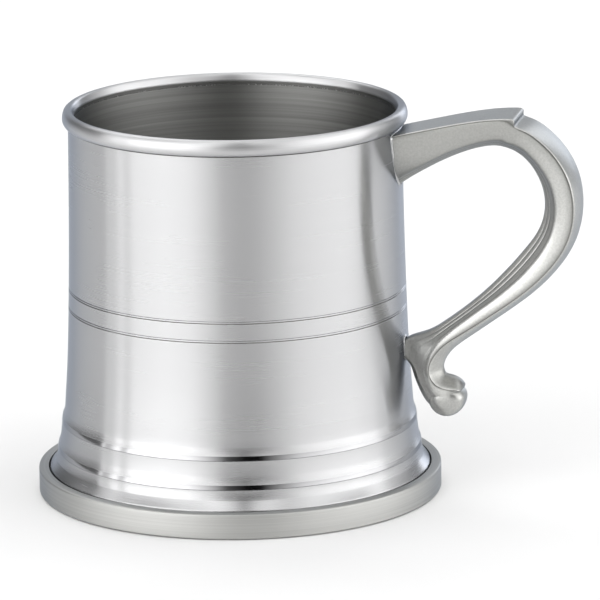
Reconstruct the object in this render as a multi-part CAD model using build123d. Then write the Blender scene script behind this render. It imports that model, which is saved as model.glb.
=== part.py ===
from build123d import *
import os

# A one-pint pewter tankard, in millimetres.
# Origin: on the tankard's axis, in the plane it stands on.  +Z is up, the handle points to +X,
# and the XZ plane is the handle's plane of symmetry.

os.makedirs("parts", exist_ok=True)

# ---------------------------------------------------------------- driving dimensions
HEIGHT = 106.0              # rim crest above the table
FOOT_RADIUS = 55.0          # outside of the foot ring
FOOT_RING_BORE = 46.5
FOOT_RING_TOP = 6.8
FOOT_RING_SEAT = 6.3        # rebate that the skirt stands in
FOOT_RING_EDGE = 0.6        # rounding of the ring's upper corner
SKIRT_RADIUS = 51.9         # lowest lip of the stepped skirt
SEAT_CLEARANCE = 0.35       # dark gap between the skirt and the ring

# stepped skirt, from the foot upwards: lip radius, lip height, then the radius and height
# at which the cove above that lip has straightened into plain wall
SKIRT_STEPS = [(51.9, 6.9, 50.1, 9.4), (49.75, 13.3, 48.8, 15.7), (48.5, 20.95, 47.55, 23.2)]
RISER_HEIGHT = 1.2          # short upright face below the two upper lips
RISER_LIP = 0.12            # how far such a face stands out from the wall below it

DRUM_TOP = 102.8            # upper edge of the drum wall
DRUM_TOP_RADIUS = 45.1
DRUM_SHAPE = [(46.55, 38.0), (45.85, 57.0), (45.35, 80.0)]   # radius and height, going up
WALL = 1.5
TURNED_LINES = [(51.65, 46.03), (56.8, 45.86)]   # height, and the drum's radius there
LINE_PITCH = 0.56               # between the two cuts that make one line
LINE_WIDTH = 0.3
LINE_DEPTH = 0.16

BEAD_SEAM = 101.6           # lower edge of the rim bead
BEAD_RADIUS = 46.6
BEAD_INNER_RADIUS = 43.4
SOLDER_FILM = 0.2

FLOOR_TOP = 14.6            # inside bottom of the tankard
FLOOR_THICKNESS = 2.0
FLOOR_RADIUS = 47.2
SOLDER_LEG = 1.0            # leg of the solder fillets under the floor and inside the foot

ARM_HALF_WIDTH = 8.0        # the handle at its flat thumb rest
SCROLL_HALF_WIDTH = 5.0     # the handle at its lower scroll
PAD_HALF_WIDTH = 2.2        # the same scroll where it narrows to meet the drum
THUMB_REST_OVERHANG = 0.1
THUMB_REST_TOP = [(43.0, 100.0), (60.0, 103.9), (76.2, 106.1)]
THUMB_REST_TIP = [(77.8, 105.4), (77.3, 103.8)]
KNOB_CENTRE = (57.9, 27.6)
KNOB_RADIUS = 4.4
KNOB_PROUD = 0.6            # how much wider the knob is than the scroll
KNOB_ROUNDING = 1.6
HANDLE_SOLDER = 0.35        # solder film between handle and drum
HANDLE_SOLDER_LAP = 0.9     # how far the solder spreads round each root


# ---------------------------------------------------------------- turned pieces
def turned(*edges):
    """The solid swept by a closed outline of (radius, height) edges about the tankard's axis."""
    return revolve(Plane.XZ * make_face(edges), Axis.Z)


def drum_outside():
    """Outside of the drum and its stepped skirt, as edges from the foot up to the rim bead."""
    start = (SKIRT_RADIUS, FOOT_RING_SEAT)
    edges = []
    for index, (lip_r, lip_z, wall_r, wall_z) in enumerate(SKIRT_STEPS):
        edges.append(Line(start, (lip_r, lip_z)))
        edges.append(TangentArc((wall_r, wall_z), (lip_r, lip_z), tangent=(0, -1)))
        if index + 1 < len(SKIRT_STEPS):
            next_r, next_z = SKIRT_STEPS[index + 1][:2]
            riser_foot = next_z - RISER_HEIGHT
            edges.append(Line((wall_r, wall_z), (next_r - RISER_LIP, riser_foot)))
            edges.append(Line((next_r - RISER_LIP, riser_foot), (next_r, riser_foot)))
            start = (next_r, riser_foot)
    return [*edges, drum_wall_line(0)]


def drum_wall_line(gap):
    """The tapered side of the drum, from the top cove up to the rim bead, moved outwards by gap."""
    foot_r, foot_z = SKIRT_STEPS[-1][2:]
    points = [(foot_r, foot_z), *DRUM_SHAPE, (DRUM_TOP_RADIUS, BEAD_SEAM)]
    return Spline(*[(radius + gap, height) for radius, height in points], tangents=[(0, 1), (0, 1)])


def drum_inside():
    """Inside of the drum, its floor seat and the hollow foot, as points from the top down."""
    seat_foot = FLOOR_TOP - FLOOR_THICKNESS - SOLDER_LEG
    return [
        (DRUM_TOP_RADIUS - WALL, DRUM_TOP),
        (DRUM_SHAPE[2][0] - WALL, DRUM_SHAPE[2][1]),
        (DRUM_SHAPE[1][0] - WALL, DRUM_SHAPE[1][1]),
        (DRUM_SHAPE[0][0] - WALL, DRUM_SHAPE[0][1]),
        (46.0, 23.0),
        (FLOOR_RADIUS, FLOOR_TOP + 3.0),
        (FLOOR_RADIUS, seat_foot),
        (48.4, seat_foot - 1.4),
        (48.5, 9.0),
        (SKIRT_RADIUS - WALL, 7.3),
        (SKIRT_RADIUS - WALL, FOOT_RING_SEAT),
    ]


def turned_line(height, radius):
    """The pair of shallow V cuts that make one decorative line, as cutting tools."""
    proud = 0.1                                     # how far the tools stand out of the wall
    mouth = LINE_WIDTH / 2 * (LINE_DEPTH + proud) / LINE_DEPTH
    cuts = []
    for middle in (height - LINE_PITCH / 2, height + LINE_PITCH / 2):
        low, high = (radius + proud, middle - mouth), (radius + proud, middle + mouth)
        cuts.append(turned(*Polyline(low, (radius - LINE_DEPTH, middle), high, close=True).edges()))
    return cuts


def drum_shell():
    inside = drum_inside()
    shell = turned(
        *drum_outside(),
        Line((DRUM_TOP_RADIUS, BEAD_SEAM), (DRUM_TOP_RADIUS, DRUM_TOP)),
        Line((DRUM_TOP_RADIUS, DRUM_TOP), inside[0]),
        *Polyline(*inside).edges(),
        Line(inside[-1], (SKIRT_RADIUS, FOOT_RING_SEAT)),
    )
    for height, radius in TURNED_LINES:
        for cut in turned_line(height, radius):
            shell -= cut
    return shell


def rim_bead():
    step = DRUM_TOP + SOLDER_FILM
    bore = DRUM_TOP_RADIUS - WALL
    crest = (44.9, HEIGHT)
    lip = (BEAD_INNER_RADIUS, HEIGHT - 1.3)
    return turned(
        Line((DRUM_TOP_RADIUS, step), (DRUM_TOP_RADIUS, BEAD_SEAM)),
        Line((DRUM_TOP_RADIUS, BEAD_SEAM), (DRUM_TOP_RADIUS + 0.5, BEAD_SEAM)),
        ThreePointArc((DRUM_TOP_RADIUS + 0.5, BEAD_SEAM), (BEAD_RADIUS, 103.4), crest),
        ThreePointArc(crest, (43.8, HEIGHT - 0.4), lip),
        Line(lip, (bore, step)),
        Line((bore, step), (DRUM_TOP_RADIUS, step)),
    )


def ring_of_solder(inner, outer, low, high):
    return turned(*Polyline((inner, low), (outer, low), (outer, high), (inner, high), close=True).edges())


def solder_fillet(corner, radial_leg, upright_leg):
    """A ring of triangular section with its right angle at corner."""
    radius, height = corner
    points = [corner, (radius + radial_leg, height), (radius, height + upright_leg)]
    return turned(*Polyline(*points, close=True).edges())


def floor_plate():
    low = FLOOR_TOP - FLOOR_THICKNESS
    return ring_of_solder(0, FLOOR_RADIUS, low, FLOOR_TOP)


def foot_ring():
    seat_edge = SKIRT_RADIUS + SEAT_CLEARANCE
    chamfer = 0.4
    shoulder = FOOT_RADIUS - FOOT_RING_EDGE
    outline = Polyline(
        (FOOT_RADIUS, FOOT_RING_TOP - FOOT_RING_EDGE),
        (FOOT_RADIUS, chamfer),
        (FOOT_RADIUS - chamfer, 0),
        (FOOT_RING_BORE + chamfer, 0),
        (FOOT_RING_BORE, chamfer),
        (FOOT_RING_BORE, FOOT_RING_SEAT),
        (seat_edge, FOOT_RING_SEAT),
        (seat_edge, FOOT_RING_TOP),
        (shoulder, FOOT_RING_TOP),
    )
    edge_foot = (FOOT_RADIUS, FOOT_RING_TOP - FOOT_RING_EDGE)
    edge = RadiusArc((shoulder, FOOT_RING_TOP), edge_foot, FOOT_RING_EDGE)
    return turned(*outline.edges(), edge)


# ---------------------------------------------------------------- handle
# Stations along the handle, in its own plane: back x, back z, inner x, inner z.
# They run from the root under the thumb rest, round the loop and down to the lower pad.
STATIONS = [
    (42.5, 98.2, 42.5, 84.4),
    (47.5, 99.5, 47.5, 87.6),
    (52.5, 100.7, 52.5, 90.6),
    (61.0, 102.5, 60.6, 94.9),
    (69.5, 103.8, 68.9, 97.7),
    (76.6, 104.2, 74.8, 97.2),
    (82.6, 102.6, 78.8, 95.2),
    (88.4, 97.9, 82.2, 91.3),
    (92.4, 91.2, 84.4, 87.2),
    (94.0, 82.8, 85.2, 82.0),
    (93.5, 74.6, 84.3, 76.4),
    (89.9, 66.8, 81.2, 71.4),
    (83.6, 60.2, 76.3, 65.2),
    (76.1, 54.1, 70.2, 58.6),
    (68.4, 48.5, 63.7, 52.8),
    (61.4, 43.7, 57.2, 48.1),
    (57.4, 40.0, 51.0, 44.8),
]


def blend(start, end, share):
    return start + (end - start) * min(max(share, 0.0), 1.0)


def handle_section(index):
    """One section of the casting: crowned back, upright sides, then bevels to a narrow inside."""
    back_x, back_z, inner_x, inner_z = STATIONS[index]
    back = Vector(back_x, 0, back_z)
    inward = Vector(inner_x, 0, inner_z) - back
    depth = inward.length
    plane = Plane(origin=back, x_dir=(0, 1, 0), z_dir=Vector(0, 1, 0).cross(inward.normalized()))
    along = index / (len(STATIONS) - 1)
    turn = (along - 0.1) / 0.35                     # 0 on the arm, 1 from the loop's side onwards
    fall = (along - 0.35) / 0.65                    # 0 down to the loop's side, 1 at the lower pad
    half = blend(ARM_HALF_WIDTH, SCROLL_HALF_WIDTH, fall)
    crown = blend(0.2, 1.9, (along - 0.2) / 0.75)
    ridge_v, ridge_t = half * 0.88, depth * blend(0.32, 0.60, turn)
    bevel_v, bevel_t = half * 0.52, depth * blend(0.74, 0.88, turn)
    inner_v = half * blend(0.14, 0.34, turn)
    side = [(half, 0), (ridge_v, ridge_t), (bevel_v, bevel_t), (inner_v, depth)]
    mirrored = [(-v, t) for v, t in reversed(side)]
    outline = Polyline(*side, *mirrored).edges()
    arc = ThreePointArc((-half, 0), (0, -crown), (half, 0))
    return plane * make_face([*outline, arc])


def thumb_rest():
    """The flat rest along the top of the arm, with its blunt tip standing proud of the back."""
    half = ARM_HALF_WIDTH + THUMB_REST_OVERHANG
    foot = [(back_x, back_z - 0.4) for back_x, back_z, _, _ in STATIONS[:6]]
    top = Spline(*THUMB_REST_TOP)
    tip = ThreePointArc(THUMB_REST_TOP[-1], THUMB_REST_TIP[0], THUMB_REST_TIP[1])
    under = Polyline(THUMB_REST_TIP[1], *reversed(foot), THUMB_REST_TOP[0])
    return extrude(Plane.XZ * make_face([top, tip, *under.edges()]), half, both=True)


def lower_scroll():
    """Pad on the drum and the scroll below it, which curls out to a round knob."""
    neck, lip, notch, heel = (61.4, 43.2), (61.3, 30.6), (61.5, 29.4), (54.2, 24.7)
    pad_inside, pad_low, pad_high, crook = 45.0, 37.3, 43.9, (57.2, 47.9)
    body = make_face([
        Spline(neck, (58.2, 40.0), (56.3, 36.3), (57.9, 32.7), lip),
        *Polyline(lip, notch, KNOB_CENTRE, heel).edges(),
        Spline(heel, (50.6, 28.7), (48.5, 34.8)),
        Line((48.5, 34.8), (48.2, pad_low)),
        Line((48.2, pad_low), (pad_inside, pad_low)),
        Line((pad_inside, pad_low), (pad_inside, pad_high)),
        ThreePointArc((pad_inside, pad_high), (50.6, 44.9), crook),
        Line(crook, neck),
    ])
    narrow, wide = PAD_HALF_WIDTH, SCROLL_HALF_WIDTH
    width = [(pad_inside, narrow), (46.5, narrow), (54.5, wide), (70, wide)]
    mirrored = [(x, -y) for x, y in reversed(width)]
    plan = make_face(Polyline(*width, *mirrored, close=True).edges())
    scroll = extrude(Plane.XZ * body, wide, both=True) & extrude(plan, HEIGHT)
    knob_x, knob_z = KNOB_CENTRE
    knob = Cylinder(KNOB_RADIUS, 2 * wide + KNOB_PROUD)
    knob = Pos(knob_x, 0, knob_z) * Rot(90, 0, 0) * fillet(knob.edges(), KNOB_ROUNDING)
    return scroll + knob


def filled_drum(gap):
    """The drum as a full body, grown outwards by gap, up to the rim bead."""
    foot_r, foot_z = SKIRT_STEPS[-1][2:]
    return turned(
        drum_wall_line(gap),
        Line((DRUM_TOP_RADIUS + gap, BEAD_SEAM), (0, BEAD_SEAM)),
        Line((0, BEAD_SEAM), (0, foot_z)),
        Line((0, foot_z), (foot_r + gap, foot_z)),
    )


def handle():
    loop = loft([handle_section(index) for index in range(len(STATIONS))])
    return loop + thumb_rest() + lower_scroll() - filled_drum(HANDLE_SOLDER)


def root_solder(outline):
    """Film of solder between the drum and a handle root; outline is a face across the drum's side."""
    film = filled_drum(HANDLE_SOLDER) - filled_drum(0)
    spread = offset(outline, HANDLE_SOLDER_LAP)
    return film & extrude(spread, 20, dir=(1, 0, 0))


def upper_root():
    """Outline of the handle's upper root, seen along the arm."""
    half = ARM_HALF_WIDTH + THUMB_REST_OVERHANG
    top, shoulder = 100.5, 98.5
    side = [(half, top), (half, shoulder), (ARM_HALF_WIDTH * 0.88, 94.6), (4.2, 89.2), (1.3, 86.2)]
    mirrored = [(-y, z) for y, z in reversed(side)]
    return Plane.YZ.offset(36) * make_face(Polyline(*side, *mirrored, close=True).edges())


def lower_root():
    """Outline of the handle's lower pad, seen along the arm."""
    low, high = 37.3, 43.9
    return Plane.YZ.offset(36) * Pos(0, (low + high) / 2) * Rectangle(2 * PAD_HALF_WIDTH, high - low)


def solder_pieces():
    """The solder runs that hold the turned pieces and the handle together."""
    bore = DRUM_TOP_RADIUS - WALL
    floor_low = FLOOR_TOP - FLOOR_THICKNESS
    skirt_bore = SKIRT_RADIUS - WALL
    return {
        "rim_solder": ring_of_solder(bore, DRUM_TOP_RADIUS, DRUM_TOP, DRUM_TOP + SOLDER_FILM),
        "floor_solder": solder_fillet((FLOOR_RADIUS, floor_low), -SOLDER_LEG, -SOLDER_LEG),
        "foot_ring_solder": solder_fillet((skirt_bore, FOOT_RING_SEAT), -SOLDER_LEG, SOLDER_LEG),
        "upper_handle_solder": root_solder(upper_root()),
        "lower_handle_solder": root_solder(lower_root()),
    }


def tankard():
    """Every piece of the tankard, by node name."""
    return {
        "drum_shell": drum_shell(),
        "rim_bead": rim_bead(),
        "floor_plate": floor_plate(),
        "foot_ring": foot_ring(),
        "handle": handle(),
        **solder_pieces(),
    }


if __name__ == "__main__":
    for name, solid in tankard().items():
        export_step(solid, f"parts/{name}.step")
        print(name, round(solid.volume, 1), solid.bounding_box().size)
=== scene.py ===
from math import cos, pi, radians, sin, sqrt

import bpy
from mathutils import Matrix, Vector


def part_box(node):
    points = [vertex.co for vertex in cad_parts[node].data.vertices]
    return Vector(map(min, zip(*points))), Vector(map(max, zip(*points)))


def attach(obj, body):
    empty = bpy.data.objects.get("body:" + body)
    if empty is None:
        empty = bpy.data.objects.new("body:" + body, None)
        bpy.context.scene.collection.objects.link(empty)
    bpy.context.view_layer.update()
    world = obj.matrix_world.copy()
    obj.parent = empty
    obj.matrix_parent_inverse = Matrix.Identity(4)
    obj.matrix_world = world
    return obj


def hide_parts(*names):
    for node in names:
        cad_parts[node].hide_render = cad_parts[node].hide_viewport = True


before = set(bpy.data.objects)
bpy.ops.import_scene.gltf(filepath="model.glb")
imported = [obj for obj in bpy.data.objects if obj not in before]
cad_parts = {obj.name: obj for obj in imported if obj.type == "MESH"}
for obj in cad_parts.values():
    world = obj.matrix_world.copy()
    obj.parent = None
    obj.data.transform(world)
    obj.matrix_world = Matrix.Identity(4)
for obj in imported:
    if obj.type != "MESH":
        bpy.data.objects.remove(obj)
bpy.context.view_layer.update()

# The visual model of a pewter tankard.  Profiles and stations below are in millimetres in the
# frame of the CAD model: Z is the tankard's axis, and the handle points to +X.
MM = 0.001

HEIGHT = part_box("rim_bead")[1].z / MM
FOOT_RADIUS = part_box("foot_ring")[1].x / MM
RING_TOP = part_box("foot_ring")[1].z / MM
SKIRT_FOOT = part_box("drum_shell")[0].z / MM
DRUM_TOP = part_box("drum_shell")[1].z / MM
BEAD_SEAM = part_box("rim_bead")[0].z / MM
BEAD_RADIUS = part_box("rim_bead")[1].x / MM
FLOOR_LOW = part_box("floor_plate")[0].z / MM
FLOOR_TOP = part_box("floor_plate")[1].z / MM
FLOOR_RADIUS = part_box("floor_plate")[1].x / MM

SEGMENTS = 256              # steps round every turned piece
ROUND_STEPS = 5             # steps round a rounded corner of an outline


# ---------------------------------------------------------------- small helpers
def mix(start, end, share):
    return start + (end - start) * share


def clamped(value):
    return max(0.0, min(1.0, value))


def rounded(corners):
    """A closed outline through (radius, height, rounding) corners."""
    points = []
    for index, (radius, height, rounding) in enumerate(corners):
        corner = Vector((radius, height))
        if rounding == 0:
            points.append(tuple(corner))
            continue
        before = Vector(corners[index - 1][:2]) - corner
        after = Vector(corners[(index + 1) % len(corners)][:2]) - corner
        start = corner + before.normalized() * rounding
        end = corner + after.normalized() * rounding
        for step in range(ROUND_STEPS + 1):
            share = step / ROUND_STEPS
            points.append(tuple(start.lerp(corner, share).lerp(corner.lerp(end, share), share)))
    return points


def new_object(name, data):
    made = bpy.data.objects.new(name, data)
    bpy.context.scene.collection.objects.link(made)
    return made


def mesh_object(name, vertices, faces, material, sharp):
    """A piece from points in millimetres; edges stay crisp above sharp degrees, or none where it is 0."""
    mesh = bpy.data.meshes.new(name)
    mesh.from_pydata([Vector(v) * MM for v in vertices], [], faces)
    mesh.validate()
    mesh.materials.append(material)
    piece = new_object(name, mesh)
    mesh.shade_smooth()
    if sharp:
        mesh.set_sharp_from_angle(angle=radians(sharp))
    return piece


def subdivide(piece):
    smooth = piece.modifiers.new("subdivision", "SUBSURF")
    smooth.levels = smooth.render_levels = 2


def band(base, top, count):
    """Faces between two rings of count points, each given by the number of its first point."""
    faces = []
    for step in range(count):
        after = (step + 1) % count
        faces.append((base + step, top + step, top + after, base + after))
    return faces


def lathe(name, outline, material, sharp=35):
    """Turns a closed outline of (radius, height) points, listed anticlockwise, round the Z axis."""
    vertices, rings, faces = [], [], []
    for radius, height in outline:
        count = 1 if radius == 0 else SEGMENTS
        rings.append([len(vertices) + i % count for i in range(SEGMENTS + 1)])
        for step in range(count):
            angle = 2 * pi * step / SEGMENTS
            vertices.append((radius * cos(angle), radius * sin(angle), height))
    for low, high in zip(rings, rings[1:] + rings[:1]):
        for i in range(SEGMENTS):
            corners = [low[i], low[i + 1], high[i + 1], high[i]]
            face = list(dict.fromkeys(corners))
            if len(face) > 2:
                faces.append(face)
    return mesh_object(name, vertices, faces, material, sharp)


def finish_rows(piece, material, rows):
    """Gives some rows of a turned piece's faces, counted along its outline, another finish."""
    piece.data.materials.append(material)
    for number, face in enumerate(piece.data.polygons):
        if number // SEGMENTS in rows:
            face.material_index = len(piece.data.materials) - 1


# ---------------------------------------------------------------- materials
class Nodes:
    """Short words for the few shader nodes that a material or the studio's world needs."""

    def __init__(self, owner, shader="Principled BSDF"):
        owner.use_nodes = True
        self.owner = owner
        self.tree = owner.node_tree
        self.shader = self.tree.nodes[shader]

    def add(self, kind, **inputs):
        node = self.tree.nodes.new(kind)
        for key, value in inputs.items():
            self.put(node.inputs[key.replace("_", " ")], value)
        return node

    def put(self, socket, value):
        if isinstance(value, bpy.types.NodeSocket):
            self.tree.links.new(value, socket)
        else:
            socket.default_value = value

    def math(self, operation, first, second=0.0):
        node = self.tree.nodes.new("ShaderNodeMath")
        node.operation = operation
        self.put(node.inputs[0], first)
        self.put(node.inputs[1], second)
        return node.outputs[0]

    def weigh(self, first, second, share):
        """A share of the first value and the rest of the second."""
        return self.math("ADD", self.math("MULTIPLY", first, share), self.math("MULTIPLY", second, 1 - share))

    def remap(self, value, low, high):
        """Carries a 0 to 1 value over to the range low to high."""
        node = self.add("ShaderNodeMapRange", Value=value, To_Min=low, To_Max=high)
        return node.outputs["Result"]

    def share(self, value, low, high):
        """Carries the range low to high over to 0 to 1."""
        node = self.add("ShaderNodeMapRange", Value=value, From_Min=low, From_Max=high)
        return node.outputs["Result"]

    def blend(self, share, first, second):
        node = self.tree.nodes.new("ShaderNodeMix")
        node.data_type = "RGBA"
        self.put(node.inputs[0], share)
        self.put(node.inputs[6], first)
        self.put(node.inputs[7], second)
        return node.outputs[2]

    def tint(self, share, dark, light):
        return self.blend(share, (*dark, 1), (*light, 1))

    def noise(self, vector, scale, detail, w=None):
        node = self.tree.nodes.new("ShaderNodeTexNoise")
        node.noise_dimensions = "3D" if w is None else "4D"
        self.put(node.inputs["Vector"], vector)
        self.put(node.inputs["Scale"], scale)
        self.put(node.inputs["Detail"], detail)
        if w is not None:
            self.put(node.inputs["W"], w)
        return node.outputs["Fac"]

    def position(self):
        return self.tree.nodes.new("ShaderNodeTexCoord").outputs["Object"]

    def bump(self, height, distance):
        node = self.add("ShaderNodeBump", Height=height, Distance=distance)
        self.put(self.shader.inputs["Normal"], node.outputs["Normal"])


EDGE_TINT = (0.45, 0.49, 0.56)      # how the bare metal darkens where it is seen edge on
QUARTER_TURN = 0.25


def bare_metal(name):
    """Nodes of a new metal."""
    nodes = Nodes(bpy.data.materials.new(name))
    nodes.put(nodes.shader.inputs["Metallic"], 1.0)
    nodes.put(nodes.shader.inputs["Specular Tint"], (*EDGE_TINT, 1))
    return nodes


def shades(color, down, up):
    """A darker and a lighter shade of a colour."""
    return [c * down for c in color], [c * up for c in color]


def lathe_marks(nodes, across, along):
    """Noise drawn out round the axis: across is marks per metre up or out, along round the axis."""
    split = nodes.add("ShaderNodeSeparateXYZ", Vector=nodes.position())
    x, y, z = split.outputs
    radius = nodes.math("SQRT", nodes.math("ADD", nodes.math("MULTIPLY", x, x), nodes.math("MULTIPLY", y, y)))
    stretched = nodes.add(
        "ShaderNodeCombineXYZ",
        X=nodes.math("MULTIPLY", x, along),
        Y=nodes.math("MULTIPLY", y, along),
        Z=nodes.math("MULTIPLY", z, across),
    )
    return nodes.noise(stretched.outputs[0], 1.0, 3.0, nodes.math("MULTIPLY", radius, across))


def turned_pewter(name, color, roughness, anisotropy, marks=2600, depth=0.0000003, grain=0.03):
    """Pewter finished on a lathe: fine marks run round it, so highlights spread along the profile."""
    nodes = bare_metal(name)
    shader = nodes.shader
    fine = lathe_marks(nodes, marks, 10)
    broad = nodes.noise(nodes.position(), 60, 2.0)
    nodes.put(shader.inputs["Base Color"], nodes.tint(fine, *shades(color, 1 - grain, 1 + grain)))
    wear = nodes.weigh(fine, broad, 0.6)
    nodes.put(shader.inputs["Roughness"], nodes.remap(wear, roughness * 0.93, roughness * 1.07))
    nodes.put(shader.inputs["Anisotropic"], anisotropy)
    nodes.put(shader.inputs["Anisotropic Rotation"], QUARTER_TURN)
    tangent = nodes.tree.nodes.new("ShaderNodeTangent")
    tangent.direction_type = "RADIAL"
    tangent.axis = "Z"
    nodes.put(shader.inputs["Tangent"], tangent.outputs["Tangent"])
    nodes.bump(fine, depth)
    return nodes.owner


def cast_pewter(name, color, roughness, shade_color=None):
    """Pewter cast in a mould and smoothed by hand: soft sheen, faint mottling and short rub marks."""
    nodes = bare_metal(name)
    shader = nodes.shader
    position = nodes.position()
    mottle = nodes.noise(position, 260, 3.0)
    cloud = nodes.noise(position, 45, 2.0)
    grain = nodes.share(nodes.noise(position, 1900, 2.0), 0.35, 0.65)
    bright = nodes.tint(nodes.weigh(cloud, grain, 0.5), *shades(color, 0.84, 1.14))
    # Painted shade: a mesh attribute blends the colour towards a dark shade colour in cuts, hollows and on
    # faces made to read darker.
    if shade_color:
        attribute = nodes.tree.nodes.new("ShaderNodeAttribute")
        attribute.attribute_name = "painted_shade"
        bright = nodes.blend(attribute.outputs["Fac"], bright, (*shade_color, 1))
    nodes.put(shader.inputs["Base Color"], bright)
    rub = nodes.weigh(mottle, grain, 0.5)
    nodes.put(shader.inputs["Roughness"], nodes.remap(rub, roughness * 0.85, roughness * 1.2))
    nodes.bump(rub, 0.000015)
    return nodes.owner


POLISHED = turned_pewter("pewter_polished", (0.53, 0.53, 0.535), 0.27, 1.0)
RIM = turned_pewter("pewter_rim", (0.57, 0.57, 0.575), 0.34, 0.9, marks=3000, depth=0.000005, grain=0.10)
# Painted shade: a near black colour for faces deep in grooves, where shade falls.
GROOVE_SHADE = turned_pewter("pewter_groove_shade", (0.16, 0.155, 0.13), 0.40, 0.8, grain=0.15)
# The riser faces under the lips: burnished smooth, and given a darker colour as painted shade.
BURNISHED_SHADED = turned_pewter("pewter_burnished_shaded", (0.34, 0.34, 0.345), 0.12, 0.3)
INSIDE = turned_pewter("pewter_inside", (0.31, 0.31, 0.30), 0.42, 0.8, marks=1500, depth=0.000016, grain=0.4)
FOOT = turned_pewter("pewter_foot", (0.50, 0.50, 0.485), 0.45, 0.7, marks=2200, depth=0.00001, grain=0.22)
# The handle's casting; its second colour is the dark colour of its painted shade.
CAST = cast_pewter("pewter_cast", (0.55, 0.55, 0.53), 0.34, shade_color=(0.16, 0.16, 0.15))
SOLDER = cast_pewter("pewter_solder", (0.58, 0.58, 0.58), 0.25)


# ---------------------------------------------------------------- turned pieces
# The drum's outside: radius and height of the plain wall, going up.
WALL_LINE = [(47.55, 23.2), (46.55, 38.0), (45.85, 57.0), (45.35, 80.0), (45.1, BEAD_SEAM)]
WALL_STEP = 3               # height between two points of the plain wall
WALL = 1.5                  # thickness
TURNED_LINES = (51.65, 56.8)
LINE_REACH = 0.8            # how far from a line's middle the plain wall's points keep away
# A turned line: heights from its middle and how deep the wall is cut there.
LINE_CUTS = [(-0.66, 0), (-0.54, 0), (-0.46, 0), (-0.41, 0.03), (-0.35, 0.17), (-0.19, 0.03), (-0.13, 0),
             (-0.05, 0), (0.06, 0), (0.14, 0), (0.18, 0.03), (0.25, 0.15), (0.36, 0.03), (0.42, 0),
             (0.5, 0), (0.62, 0)]
DARK_CUT = 4                # the step of those that is painted dark as shade: the lower cut's upper flank
# The skirt's steps: radius and height of each lip, and of the top of the slope above it.
SKIRT_STEPS = [(51.9, 6.9, 50.1, 9.4), (49.75, 13.3, 48.8, 15.7), (48.5, 20.95, 47.55, 23.2)]
SKIRT_RADIUS = SKIRT_STEPS[0][0]
RISER_HEIGHT = 1.25
RISER_FACE = 3              # the step of a riser's profile that is its burnished face, painted darker as shade
RISER_QUIRK = 0.26          # how far the shadow groove under a lip is cut in
RISER_LEAN = 0.26           # how far the burnished face under a lip leans in towards its top
SEAM_GROOVE = 0.30          # depth and height of the groove between the wall and the rim
SEAM_ROWS = 3               # steps of the drum's outline that the groove takes up
COVE_HOLLOW = 0.08          # how far the slope above a lip is hollowed
COVE_STEPS = 10
BORE_STEPS = 24             # steps down the inside, from the rim to the floor's soft corner
BORE_RADIUS = 46.2          # the most that the inside widens to above that corner
FLOOR_CORNER = 4            # the corner's height
FOOT_BORE = 46.5            # radius of the foot ring's opening
FOOT_GROOVE = (0.45, 2.0)   # width and depth of the groove between the skirt and the foot ring
GAP = 0.02                  # between the faces of two pieces that meet


def wall_radius(height):
    """Radius of the drum's wall at a height, by a smooth curve through WALL_LINE."""
    last = len(WALL_LINE) - 1
    for index in range(last):
        (r0, z0), (r1, z1) = WALL_LINE[index], WALL_LINE[index + 1]
        if height <= z1 or index == last - 1:
            before = WALL_LINE[max(index - 1, 0)]
            after = WALL_LINE[min(index + 2, last)]
            slope0 = (r1 - before[0]) / (z1 - before[1])
            slope1 = (after[0] - r0) / (after[1] - z0)
            span = z1 - z0
            t = (height - z0) / span
            return ((2 * t**3 - 3 * t**2 + 1) * r0 + (t**3 - 2 * t**2 + t) * span * slope0
                    + (3 * t**2 - 2 * t**3) * r1 + (t**3 - t**2) * span * slope1)


def cove(lip, wall):
    """The slope from a lip up to the wall above it, hollowed very slightly."""
    points = []
    for step in range(COVE_STEPS + 1):
        share = step / COVE_STEPS
        hollow = COVE_HOLLOW * 4 * share * (1 - share)
        points.append((mix(lip[0], wall[0], share) - hollow, mix(lip[1], wall[1], share)))
    return points


def riser(lip_r, lip_z):
    """The face under a lip: shadow groove, lower edge, and the burnished face up to the lip."""
    foot = lip_z - RISER_HEIGHT
    return [
        (lip_r - RISER_QUIRK * 0.5, foot - 0.3),
        (lip_r - RISER_QUIRK * 0.5, foot - 0.14),
        (lip_r - RISER_QUIRK, foot - 0.04),
        (lip_r, foot + 0.04),
        (lip_r - RISER_LEAN, lip_z),
    ]


def skirt_profile():
    """Stepped skirt from the foot ring up to where the plain wall begins."""
    points = [(SKIRT_RADIUS, SKIRT_FOOT)]
    for index, (lip_r, lip_z, wall_r, wall_z) in enumerate(SKIRT_STEPS):
        if index:
            points += riser(lip_r, lip_z)
        else:
            points += [(lip_r, lip_z - 0.06)]
        points += cove((points[-1][0] - 0.02, lip_z + 0.05), (wall_r, wall_z))
    return points


def turned_line_profile(height):
    """Two fine cuts, the lower one deeper."""
    return [(wall_radius(height + offset) - depth, height + offset) for offset, depth in LINE_CUTS]


def seam_groove():
    """The top of the wall: plain, then a narrow groove under the rim."""
    wall = wall_radius(BEAD_SEAM)
    low = BEAD_SEAM - SEAM_GROOVE
    return [(wall, low - 0.3), (wall, low), (wall - SEAM_GROOVE, low + 0.08), (wall - SEAM_GROOVE, BEAD_SEAM)]


def plain_wall(low, high):
    """Points up the wall from one height to just under another."""
    points = []
    while low < high:
        points.append((wall_radius(low), low))
        low += WALL_STEP
    return points


def drum_outside():
    """Outside of the drum from its foot up to the rim."""
    points = skirt_profile()
    height = points[-1][1] + 2
    for line in TURNED_LINES:
        points += plain_wall(height, line - LINE_REACH)
        points += turned_line_profile(line)
        height = line + LINE_REACH
    return points + plain_wall(height, BEAD_SEAM - 0.7) + seam_groove()


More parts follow.
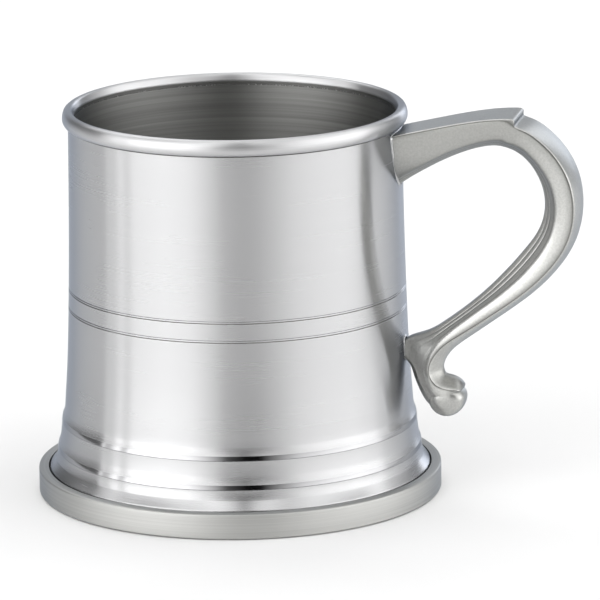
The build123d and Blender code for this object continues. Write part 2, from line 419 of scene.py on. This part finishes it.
def drum_inside():
    """Inside of the drum from the top down, with the floor's soft corner, then the hollow foot."""
    points = []
    for step in range(BORE_STEPS + 1):
        z = DRUM_TOP - step * (DRUM_TOP - FLOOR_TOP - FLOOR_CORNER) / BORE_STEPS
        outer = wall_radius(min(max(z, WALL_LINE[0][1]), BEAD_SEAM))
        points.append((min(outer - WALL, BORE_RADIUS), z))
    return points + [
        (46.4, FLOOR_TOP + 3.0),
        (FLOOR_RADIUS, FLOOR_TOP + 1.5),
        (FLOOR_RADIUS, FLOOR_LOW - 1.0),
        (48.4, FLOOR_LOW - 2.4),
        (48.5, 9.0),
        (SKIRT_RADIUS - WALL, 7.3),
        (SKIRT_RADIUS - WALL, SKIRT_FOOT),
    ]


def make_drum():
    outside = drum_outside()
    outline = [*outside, (wall_radius(BEAD_SEAM), DRUM_TOP), *drum_inside()]
    drum = lathe("drum", outline, POLISHED, sharp=50)
    cut_rows = [outside.index(turned_line_profile(line)[DARK_CUT]) for line in TURNED_LINES]
    seam_rows = range(len(outside) - SEAM_ROWS, len(outside))
    riser_rows = [outside.index(riser(*step[:2])[RISER_FACE]) for step in SKIRT_STEPS[1:]]
    finish_rows(drum, INSIDE, range(len(outside), len(outline)))
    # painted shade in the lower cut of each turned line and in the groove under the rim
    finish_rows(drum, GROOVE_SHADE, [*cut_rows, *seam_rows])
    # the risers' burnished faces, darker in colour as painted shade under each lip
    finish_rows(drum, BURNISHED_SHADED, riser_rows)
    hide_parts("drum_shell")
    return drum


def make_bead():
    """Rolled rim: a full round outside, a broad crest and a small rounded lip inside."""
    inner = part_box("rim_solder")[1].x / MM - WALL
    wall = wall_radius(BEAD_SEAM)
    corners = [
        (wall, BEAD_SEAM + GAP, 0),
        (wall + 0.75, BEAD_SEAM + GAP, 0.35),
        (BEAD_RADIUS + 0.06, BEAD_SEAM + 1.0, 0.8),
        (BEAD_RADIUS + 0.02, HEIGHT - 1.5, 1.0),
        (BEAD_RADIUS - 0.9, HEIGHT + 0.08, 1.1),
        (inner + 0.5, HEIGHT - 0.15, 0.6),
        (inner - 0.2, HEIGHT - 1.9, 0.3),
        (inner, DRUM_TOP + 0.2, 0),
        (wall, DRUM_TOP + 0.2, 0),
    ]
    outline = rounded(corners)
    bead = lathe("rim", outline, RIM, sharp=60)
    finish_rows(bead, INSIDE, range(len(outline) - 3, len(outline)))
    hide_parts("rim_bead")
    return bead


def make_foot_ring():
    """The flat ring that the skirt stands in, with a groove where the two meet, painted dark as shade."""
    groove_width, groove_depth = FOOT_GROOVE
    groove_floor = RING_TOP - groove_depth
    groove_side = SKIRT_RADIUS + groove_width
    corners = [
        (FOOT_RADIUS, 0.0, 0.5),
        (FOOT_RADIUS, RING_TOP, 0.55),
        (groove_side, RING_TOP, 0.08),
        (groove_side, groove_floor, 0),
        (SKIRT_RADIUS + 0.03, groove_floor, 0),
        (SKIRT_RADIUS + 0.03, SKIRT_FOOT - GAP, 0),
        (FOOT_BORE, SKIRT_FOOT - GAP, 0.3),
        (FOOT_BORE, 0.0, 0.5),
    ]
    outline = rounded(corners)
    ring = lathe("foot_ring_turned", outline, FOOT, sharp=50)
    groove = next(row for row, point in enumerate(outline) if abs(point[1] - groove_floor) < 0.001)
    # painted shade on the groove's faces
    finish_rows(ring, GROOVE_SHADE, range(groove - 1, groove + 2))
    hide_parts("foot_ring")
    return ring


def make_floor():
    """The inside bottom: a disc whose top is very slightly dished."""
    outline = [
        (0, FLOOR_LOW),
        (FLOOR_RADIUS - GAP, FLOOR_LOW),
        (FLOOR_RADIUS - GAP, FLOOR_TOP),
        (FLOOR_RADIUS - 2.5, FLOOR_TOP - 0.15),
        (20, FLOOR_TOP - 0.3),
        (0, FLOOR_TOP - 0.35),
    ]
    floor = lathe("inside_floor", outline, INSIDE)
    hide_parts("floor_plate")
    return floor


# ---------------------------------------------------------------- handle
# Stations along the casting, each a section between the edge of the back and the inner edge:
# back edge x, z, inner edge x, z, half width, crown of the back, depth of the side face,
# half width of the inner edge, and how round the section is (0 bevelled, 1 round).
ARM = [
    (43.95, 100.3, 43.95, 84.8, 8.1, 0.00, 12.6, 1.2, 0.0),
    (44.3, 100.4, 44.3, 85.0, 8.1, 0.00, 12.5, 1.2, 0.0),
    (47.0, 101.1, 47.0, 87.2, 8.1, 0.05, 11.6, 1.5, 0.0),
    (52.5, 102.3, 52.5, 90.5, 8.1, 0.05, 9.9, 1.9, 0.0),
    (59.0, 103.8, 58.8, 93.9, 8.1, 0.05, 7.6, 2.2, 0.0),
    (65.5, 105.1, 65.2, 96.5, 8.1, 0.05, 6.5, 2.4, 0.0),
    (71.0, 105.9, 70.2, 97.6, 8.1, 0.05, 6.0, 2.4, 0.0),
    (75.2, 106.15, 72.6, 97.5, 8.1, 0.00, 6.1, 2.4, 0.0),
]
THUMB_TIP = [
    (76.5, 105.4, 73.6, 97.3, 8.05, 0.00, 6.0, 2.4, 0.0),
    (77.4, 104.7, 74.5, 97.1, 8.0, 0.00, 5.8, 2.4, 0.0),
    (78.2, 104.25, 75.3, 96.85, 8.0, 0.00, 5.5, 2.4, 0.0),
    (78.9, 103.9, 76.2, 96.5, 8.0, 0.10, 5.2, 2.4, 0.0),
]
# How far the rest's edge stands off those stations, along x and z, before it drops to the loop.
TIP_PROUD = [(0.75, 0.75), (0.5, 0.85), (-0.7, 0.1), (-0.75, 0.0)]
TIP_LIFT = (1.0, 0.9)       # shares of that for the first points down the side
LOOP = [
    (79.7, 103.45, 77.1, 96.1, 8.0, 0.25, 5.1, 2.4, 0.0),
    (82.2, 102.4, 79.0, 94.9, 8.0, 0.35, 5.3, 2.4, 0.0),
    (85.6, 99.8, 81.2, 92.7, 8.0, 0.50, 5.5, 2.4, 0.0),
    (88.9, 96.4, 83.0, 89.8, 7.9, 0.65, 5.6, 2.4, 0.0),
    (91.7, 92.0, 84.4, 86.5, 7.8, 0.80, 5.6, 2.4, 0.0),
    (93.4, 87.2, 85.0, 83.0, 7.7, 0.90, 5.6, 2.4, 0.0),
    (94.0, 82.2, 84.8, 79.4, 7.6, 1.00, 5.6, 2.4, 0.0),
    (93.6, 77.2, 83.8, 75.9, 7.5, 1.10, 5.6, 2.4, 0.0),
    (92.1, 72.2, 82.0, 72.6, 7.4, 1.25, 5.5, 2.4, 0.0),
    (89.4, 67.6, 79.3, 69.2, 7.2, 1.45, 5.3, 2.3, 0.0),
    (85.7, 63.2, 76.2, 65.4, 7.0, 1.65, 5.0, 2.3, 0.0),
    (81.3, 59.0, 72.7, 61.6, 6.8, 1.80, 4.6, 2.3, 0.0),
    (76.3, 55.1, 68.8, 57.6, 6.5, 1.85, 4.2, 2.3, 0.0),
    (70.8, 51.2, 64.6, 53.9, 6.1, 1.90, 3.8, 2.3, 0.0),
    (65.4, 47.4, 60.4, 50.6, 5.7, 2.00, 3.2, 2.3, 0.0),
]
SCROLL = [
    (61.2, 44.7, 56.7, 47.9, 5.3, 2.20, 2.7, 2.2, 0.0),
    (58.0, 42.5, 53.2, 45.6, 5.1, 2.50, 2.1, 2.2, 0.1),
    (55.8, 40.3, 49.8, 44.6, 5.0, 2.90, 1.4, 2.2, 0.2),
    (54.4, 38.3, 46.0, 43.4, 5.0, 3.30, 0.9, 2.2, 0.2),
    (53.7, 36.5, 46.0, 40.6, 5.0, 3.55, 0.6, 2.2, 0.2),
    (53.6, 35.0, 46.0, 38.2, 5.0, 3.65, 0.5, 2.2, 0.2),
    (53.9, 33.7, 48.0, 36.6, 5.0, 3.65, 0.5, 2.5, 0.3),
    (54.7, 32.3, 48.7, 33.6, 5.0, 3.50, 0.7, 2.7, 0.5),
    (56.0, 31.2, 49.8, 30.6, 5.0, 3.20, 1.0, 2.9, 0.6),
    (57.7, 30.7, 51.0, 27.9, 5.1, 3.20, 1.6, 3.0, 0.7),
    (59.2, 30.6, 52.4, 25.6, 5.15, 3.00, 2.3, 3.0, 0.8),
    (60.2, 30.5, 54.0, 24.3, 5.15, 2.60, 3.2, 3.0, 0.9),
]
LIP = [
    (60.9, 30.4, 56.4, 26.4, 4.95, 2.15, 2.8, 3.0, 1.0),
    (61.5, 30.2, 58.0, 28.8, 4.7, 1.60, 1.8, 3.0, 1.0),
    (61.9, 29.95, 59.4, 29.3, 4.3, 1.05, 1.2, 3.0, 1.0),
    (62.1, 29.7, 60.6, 29.4, 3.7, 0.50, 0.6, 3.0, 1.0),
]
STATIONS = [*ARM, *THUMB_TIP, *LOOP, *SCROLL, *LIP]
TIP_START = len(ARM)
LOOP_START = TIP_START + len(THUMB_TIP)
SCROLL_START = LOOP_START + len(LOOP)
# The knob below the lip: a barrel across the handle, by half width and radius, flattened above.
KNOB_CENTRE = (57.9, 27.35)
KNOB_BARREL = [(5.45, 0.0), (5.4, 1.7), (5.1, 3.1), (4.5, 4.15), (3.4, 4.85), (1.7, 5.15)]
KNOB_TOP = 0.74             # height of its upper half, as a share of a full round's
KNOB_STEPS = 24
# how far the knob's colour is blended towards the casting's dark shade colour, all over
KNOB_DARKENING = 0.15
RIDGE_SHARE = 0.80          # half width at the lower edge of the side face, as a share of the full one
ROOT_RIDGE_SHARES = [0.36, 0.37, 0.50, 0.68]      # the same for the stations at the upper root
QUIRK = 0.24                # fine shadow line beside each long edge of the casting


def fine_cut(start, end, share, depth):
    """Three points of a V cut across the line from start to end, in (half width, depth) terms."""
    start, end = Vector(start), Vector(end)
    middle, along = start.lerp(end, share), (end - start).normalized()
    inward = Vector((-abs(along.y), -abs(along.x)))
    return [middle - along * depth * 0.7, middle + inward * depth, middle + along * depth * 0.7]


def bevelled_side(half, depth, side, inner_half, ridge_share, fade):
    """Half section, from the back's edge inwards: (half width, distance from the back)."""
    waist = (mix(inner_half, half, mix(ridge_share, 1, 0.75)), side * 0.5)
    ridge = (mix(inner_half, half, ridge_share), side)
    inner = (inner_half, mix(side, depth, 0.94))
    arris_cut = min(QUIRK, side * 0.2)
    bevel_cut = QUIRK * (1 - fade)
    return [
        (half * 0.99, 0.06),
        *fine_cut((half, 0), waist, min(0.45, 0.5 / waist[1]), arris_cut),
        waist,
        (mix(inner_half, half, mix(ridge_share, 1, 0.4)), side * 0.84),
        ridge,
        *fine_cut(ridge, inner, 0.12, bevel_cut * 0.3),
        *fine_cut(ridge, inner, 0.48, bevel_cut),
        *fine_cut(ridge, inner, 0.76, bevel_cut),
        inner,
        (inner_half * 0.80, depth),
    ]


def round_side(half, depth):
    """The same points round a full, rounded section."""
    shares = [0.0, 0.03, 0.06, 0.1, 0.2, 0.3, 0.4, 0.44, 0.48]
    shares += [0.52, 0.58, 0.62, 0.66, 0.74, 0.8, 0.86, 0.94, 0.985]
    points = []
    for t in shares:
        swell = 1 + 0.07 * sin(pi * t)
        points.append((half * swell * sqrt(1 - clamped((t - 0.35) / 0.66) ** 2.2), depth * t))
    return points


def half_section(index, depth):
    """Half of the section at a station: bevelled, round, or between the two."""
    half, _, side, inner_half, roundness = STATIONS[index][4:]
    ridge_share = ROOT_RIDGE_SHARES[index] if index < len(ROOT_RIDGE_SHARES) else RIDGE_SHARE
    bevelled = bevelled_side(half, depth, side, inner_half, ridge_share, clamped(roundness * 5))
    full = round_side(half, depth)
    return [(mix(a[0], b[0], roundness), mix(a[1], b[1], roundness)) for a, b in zip(bevelled, full)]


def outward_at(index, inward):
    """Direction square to the handle's run at a station, away from its inner edge."""
    before = STATIONS[max(index - 1, 0)]
    after = STATIONS[min(index + 1, len(STATIONS) - 1)]
    path = Vector((after[0] - before[0], 0, after[1] - before[1])).normalized()
    outward = Vector((-path.z, 0, path.x))
    if outward.dot(inward) > 0:
        outward.negate()
    return outward


def handle_ring(index):
    """One closed ring of the handle's cage."""
    back_x, back_z, inner_x, inner_z, half, crown = STATIONS[index][:6]
    back = Vector((back_x, 0, back_z))
    inward = Vector((inner_x, 0, inner_z)) - back
    depth = inward.length
    inward.normalize()
    crest = outward_at(index, inward) * crown
    tip = index - TIP_START
    proud = Vector((0, 0, 0))
    if 0 <= tip < len(TIP_PROUD):
        proud = Vector((TIP_PROUD[tip][0], 0, TIP_PROUD[tip][1]))
    edge = back + proud
    right = [
        edge + crest,
        edge + crest * 0.72 + Vector((0, half * 0.5, 0)),
        edge + crest * 0.16 + Vector((0, half * 0.9, 0)),
    ]
    for number, (v, t) in enumerate(half_section(index, depth)):
        lift = proud * TIP_LIFT[number] if number < len(TIP_LIFT) else Vector((0, 0, 0))
        right.append(back + lift + inward * t + Vector((0, v, 0)))
    right.append(back + inward * depth * 1.005)
    left = [Vector((p.x, -p.y, p.z)) for p in reversed(right[1:-1])]
    return [*right, *left]


def ring_painted_shade(index, roundness):
    """How much painted shade darkens each point of a ring: in the fine cuts, on the arm and in the scroll."""
    # Painted shade, point by point: a dark line under the thumb tip, the scroll's crest, the fine cut by the
    # back's edge, the arm's side face, the bevel's fine cuts and the web side.
    on_arm = clamped((LOOP_START + 4 - index) / 5)
    in_scroll = clamped((index - SCROLL_START - 3) / 3)
    crest = 0.7 if index == TIP_START + 2 else 0.5 * in_scroll
    web = 0.5 - 0.4 * roundness
    share = clamped(roundness * 4)
    edge = [0.0, 0.6, 1.0, 0.4]
    side = [0.34 * on_arm] * 3
    bevel = [0.5, 0.9, 0.4, 0.35, 0.8, 0.3, 0.35, 0.8, 0.3, 0.2, 0.2]
    right = [crest] * 3 + edge + [mix(painted_shading, web, share) for painted_shading in side + bevel]
    return [*right, right[-1], *reversed(right[1:])]


def knob_mesh(start):
    """Vertices and faces of the knob; start is the number of its first vertex."""
    barrel = KNOB_BARREL + [(-y, radius) for y, radius in reversed(KNOB_BARREL)]
    vertices, faces = [], []
    for y, radius in barrel:
        for step in range(KNOB_STEPS):
            angle = 2 * pi * step / KNOB_STEPS
            rise = radius * sin(angle)
            if rise > 0:
                rise *= KNOB_TOP
            vertices.append((KNOB_CENTRE[0] + radius * cos(angle), y, KNOB_CENTRE[1] + rise))
    for row in range(len(barrel) - 1):
        faces += band(start + row * KNOB_STEPS, start + (row + 1) * KNOB_STEPS, KNOB_STEPS)
    return vertices, faces


def ring_cap(start, count):
    """Faces that close a mirrored ring straight across, from one side to the other."""
    bottom = count // 2
    ends = [
        (start, start + 1, start + count - 1),
        (start + bottom - 1, start + bottom, start + bottom + 1),
    ]
    return ends + [
        (start + step, start + step + 1, start + count - step - 1, start + count - step)
        for step in range(1, bottom - 1)
    ]


def make_handle():
    rings = [handle_ring(index) for index in range(len(STATIONS))]
    count = len(rings[0])
    vertices = [point for ring in rings for point in ring]
    faces = []
    for index in range(len(rings) - 1):
        faces += band(index * count, (index + 1) * count, count)
    faces += ring_cap(0, count)
    faces += [tuple(reversed(face)) for face in ring_cap(len(vertices) - count, count)]
    # painted shade at every point of the handle, and the knob darkened all over
    painted_shading = [value for index, station in enumerate(STATIONS) for value in ring_painted_shade(index, station[-1])]
    knob_vertices, knob_faces = knob_mesh(len(vertices))
    vertices += knob_vertices
    faces += knob_faces
    painted_shading += [KNOB_DARKENING] * len(knob_vertices)
    handle = mesh_object("handle_casting", vertices, faces, CAST, sharp=0)
    handle.data.attributes.new("painted_shade", "FLOAT", "POINT").data.foreach_set("value", painted_shading)
    subdivide(handle)
    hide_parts("handle")
    return handle


# ---------------------------------------------------------------- solder round the handle's roots
def solder_run(name, contour, spread, rise, node):
    """A concave fillet along a contour of (y, z) points on the drum, spread out over the wall."""
    centre = sum((Vector(p) for p in contour), Vector((0, 0))) / len(contour)
    section = [(spread, -0.15), (spread, 0.02), (spread * 0.45, 0.12), (spread * 0.12, rise * 0.45),
               (0.0, rise), (-0.5, rise), (-0.5, -0.15)]
    vertices, faces = [], []
    total = len(contour)
    for index, point in enumerate(contour):
        here = Vector(point)
        along = Vector(contour[(index + 1) % total]) - Vector(contour[index - 1])
        out = Vector((along.y, -along.x)).normalized()
        if out.dot(here - centre) < 0:
            out.negate()
        for across, height in section:
            y, z = here + out * across
            vertices.append((sqrt((wall_radius(z) + height) ** 2 - y * y), y, z))
    size = len(section)
    for index in range(total):
        base, top = index * size, (index + 1) % total * size
        for step in range(size):
            after = (step + 1) % size
            faces.append((base + step, base + after, top + after, top + step))
    run = mesh_object(name, vertices, faces, SOLDER, sharp=0)
    subdivide(run)
    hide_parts(node)
    return run


def mirrored_contour(side):
    """A closed contour of (y, z) points from those on one side, listed from the top down."""
    return side + [(-y, z) for y, z in reversed(side) if y > 0]


def make_solder():
    upper = mirrored_contour([(0, 100.6), (4.5, 100.6), (7.5, 100.5), (8.15, 99.9), (7.9, 98.1), (7.2, 95.2),
                              (6.1, 92.0), (4.8, 89.4), (3.2, 87.2), (1.5, 85.7), (0, 85.1)])
    lower = mirrored_contour([(0, 43.8), (1.6, 43.7), (2.1, 43.1), (2.2, 40.5), (2.1, 38.0), (1.6, 37.4),
                              (0, 37.3)])
    return [
        solder_run("upper_root_fillet", upper, 0.38, 0.40, "upper_handle_solder"),
        solder_run("lower_root_fillet", lower, 0.3, 0.3, "lower_handle_solder"),
    ]


def finish_carried_nodes():
    """The hidden solder runs keep their CAD shape and get the solder's finish."""
    for name in ("rim_solder", "floor_solder", "foot_ring_solder"):
        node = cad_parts[name]
        node.data.materials.clear()
        node.data.materials.append(SOLDER)


# ---------------------------------------------------------------- studio
VIEW_PITCH = radians(13.66)
VIEW_TURN = radians(12)
VIEW_ROLL = radians(-0.758)
VIEW_DISTANCE = 1.5527
LOOK_AT = Vector((0.01655, 0.00352, 0.05173))
LENS = 342.7
FLOOR_REACH = 6             # metres from the middle to each edge


def view_axes():
    """Forward, right and up of the camera."""
    level = Vector((-sin(VIEW_TURN), cos(VIEW_TURN), 0))
    forward = level * cos(VIEW_PITCH) + Vector((0, 0, -sin(VIEW_PITCH)))
    right = Vector((cos(VIEW_TURN), sin(VIEW_TURN), 0))
    up = right.cross(forward)
    turned_right = right * cos(VIEW_ROLL) + up * sin(VIEW_ROLL)
    return forward, turned_right, turned_right.cross(forward)


def make_camera():
    forward, right, up = view_axes()
    data = bpy.data.cameras.new("camera")
    data.sensor_width = 36
    data.lens = LENS
    data.clip_end = 50
    camera = new_object("camera", data)
    turn = Matrix((right, up, -forward)).transposed().to_4x4()
    camera.matrix_world = Matrix.Translation(LOOK_AT - forward * VIEW_DISTANCE) @ turn
    bpy.context.scene.camera = camera


def make_ground():
    nodes = Nodes(bpy.data.materials.new("studio_floor"))
    nodes.put(nodes.shader.inputs["Base Color"], (0.86, 0.86, 0.86, 1))
    nodes.put(nodes.shader.inputs["Roughness"], 0.9)
    mesh = bpy.data.meshes.new("studio_floor")
    corners = [(x * FLOOR_REACH, y * FLOOR_REACH, 0) for x, y in ((-1, -1), (1, -1), (1, 1), (-1, 1))]
    mesh.from_pydata(corners, [], [(0, 1, 2, 3)])
    mesh.materials.append(nodes.owner)
    ground = new_object("studio_floor", mesh)
    ground.location.z = -0.0002


# Soft boxes round the tankard: brightness by azimuth from the camera, in degrees and positive to
# the right, below about 35 degrees of elevation and from there up to about 68 degrees.
LOW_BOXES = [
    (-180, 0.9), (-162, 0.9), (-145, 0.2), (-104, 0.25), (-98.6, 0.3), (-97.9, 2.6), (-96.2, 2.6),
    (-95, 1.3), (-90.5, 1.4), (-85.5, 3.2), (-82.5, 3.2), (-80.5, 1.6), (-77, 1.9), (-75, 3.5),
    (-50, 3.9), (-32, 3.3), (-20, 1.9), (-8, 0.2), (4, 0), (14, 0), (24, 0.7), (40, 2.0), (60, 2.7),
    (80, 3.1), (99.5, 2.65), (106, 1.7), (140, 0.2), (144, 0.3), (149, 3.2), (160, 3.2), (165, 0.7),
    (180, 0.9),
]
HIGH_BOXES = [
    (-180, 1.8), (-140, 2.8), (-118, 0), (-112, 0.6), (-106, 2.2), (-99, 2.2), (-98, 0), (-75, 0.2),
    (-50, 1.3), (-32, 1.6), (-20, 2.4), (-8, 1.9), (4, 0.5), (14, 1.8), (24, 2.0), (40, 1.1), (60, 1.7),
    (80, 1.3), (99.5, 0.5), (102.5, 0), (106, 3.0), (120, 1.9), (140, 0.6), (180, 1.8),
]
LOW_FADE = 0.4              # how much the low boxes have dimmed by their upper edge
OVERHEAD = 1.0
PEAK = 4.0


def box_ramp(nodes, turn, boxes):
    """Brightness as a share of PEAK, by a turn that runs from 0 to 1 round the tankard."""
    ramp = nodes.add("ShaderNodeValToRGB", Fac=turn)
    stops = ramp.color_ramp.elements
    for azimuth, _ in boxes[1:-1]:
        stops.new(azimuth / 360 + 0.5)
    for stop, (_, level) in zip(stops, boxes):
        stop.color = (level / PEAK,) * 3 + (1,)
    return ramp.outputs["Color"]


def make_world():
    world = bpy.data.worlds.new("studio")
    bpy.context.scene.world = world
    nodes = Nodes(world, "Background")
    direction = nodes.tree.nodes.new("ShaderNodeTexCoord").outputs["Generated"]
    x, y, z = nodes.add("ShaderNodeSeparateXYZ", Vector=direction).outputs
    # azimuth 0 faces from the tankard towards the camera
    to_camera = nodes.math("SUBTRACT", nodes.math("MULTIPLY", x, sin(VIEW_TURN)),
                           nodes.math("MULTIPLY", y, cos(VIEW_TURN)))
    to_right = nodes.math("ADD", nodes.math("MULTIPLY", x, cos(VIEW_TURN)),
                          nodes.math("MULTIPLY", y, sin(VIEW_TURN)))
    turn = nodes.share(nodes.math("ARCTAN2", to_right, to_camera), -pi, pi)
    elevation = nodes.math("ARCSINE", z)
    low = box_ramp(nodes, turn, LOW_BOXES)
    fade = nodes.remap(nodes.share(elevation, radians(6), radians(28)), 0, LOW_FADE)
    low = nodes.blend(fade, low, (0, 0, 0, 1))
    high = box_ramp(nodes, turn, HIGH_BOXES)
    sides = nodes.blend(nodes.share(elevation, radians(25), radians(45)), low, high)
    sky = nodes.blend(nodes.share(elevation, radians(60), radians(75)), sides, (OVERHEAD / PEAK,) * 3 + (1,))
    nodes.put(nodes.shader.inputs["Color"], sky)
    nodes.put(nodes.shader.inputs["Strength"], PEAK)


# ---------------------------------------------------------------- assembly
PIECES = [make_drum(), make_bead(), make_foot_ring(), make_floor(), make_handle(), *make_solder()]
for piece in PIECES:
    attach(piece, "root")
finish_carried_nodes()
make_ground()
make_world()
make_camera()
bpy.context.scene.view_settings.view_transform = "Standard"
